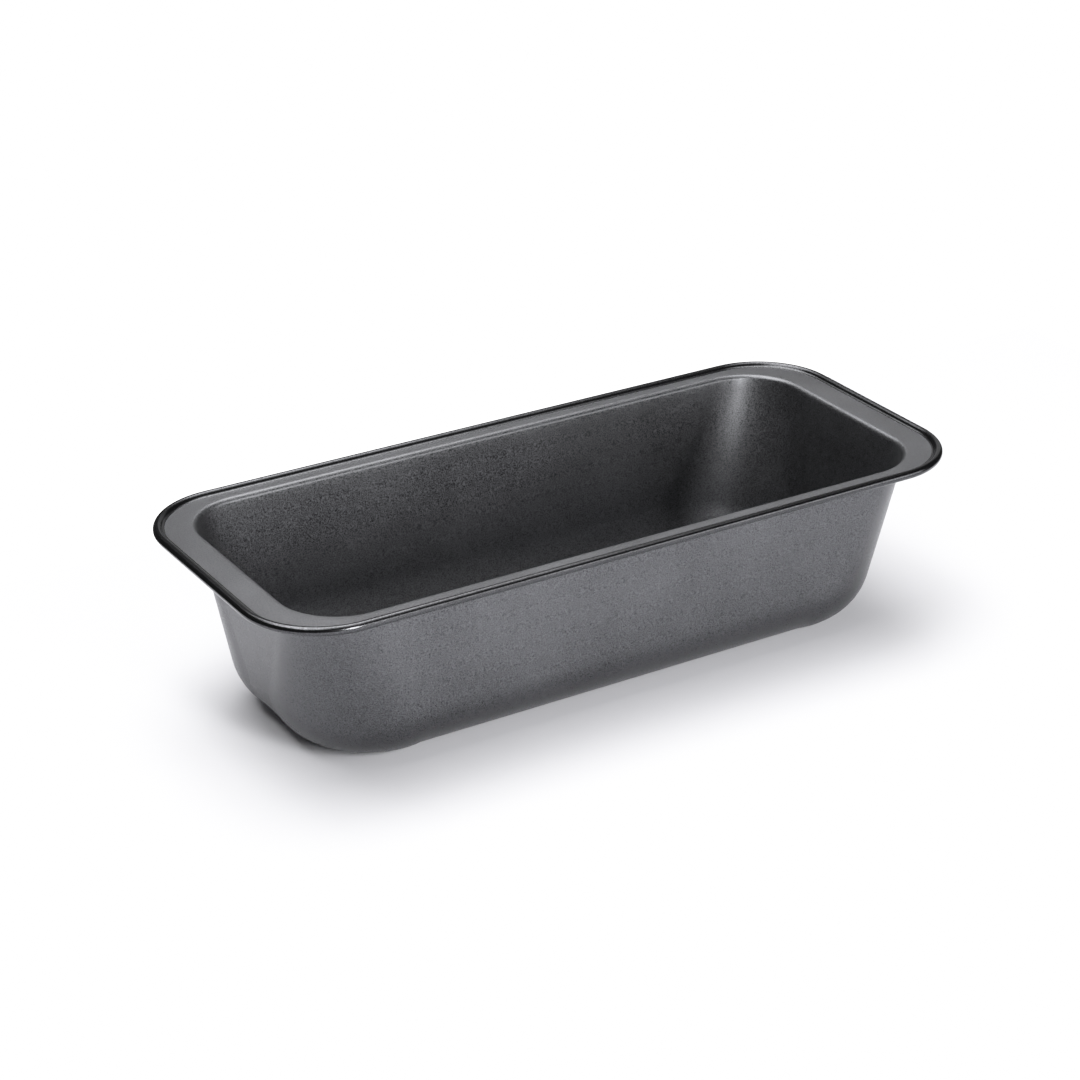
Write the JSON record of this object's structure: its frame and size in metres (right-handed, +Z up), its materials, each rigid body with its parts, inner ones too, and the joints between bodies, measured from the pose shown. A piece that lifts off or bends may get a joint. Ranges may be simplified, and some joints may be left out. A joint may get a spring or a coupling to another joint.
{
  "type": "loaf pan",
  "caption": "Long rectangular baking pan with leaning walls, rounded base edges, a flat flange and a rolled, wire-filled rim",
  "frame": {"origin": "middle of the underside, at the level that the pan stands on", "axes": "+X along the pan's length, +Y across it, +Z up"},
  "size_m": [0.3, 0.13, 0.072],
  "materials": {
    "coated_steel": "dark grey non-stick coating with a fine metallic fleck, satin",
    "rim_wire": "drawn steel wire, bare"
  },
  "bodies": {
    "root": {"pan_shell": "coated_steel", "rim_wire": "rim_wire"}
  },
  "joints": []
}
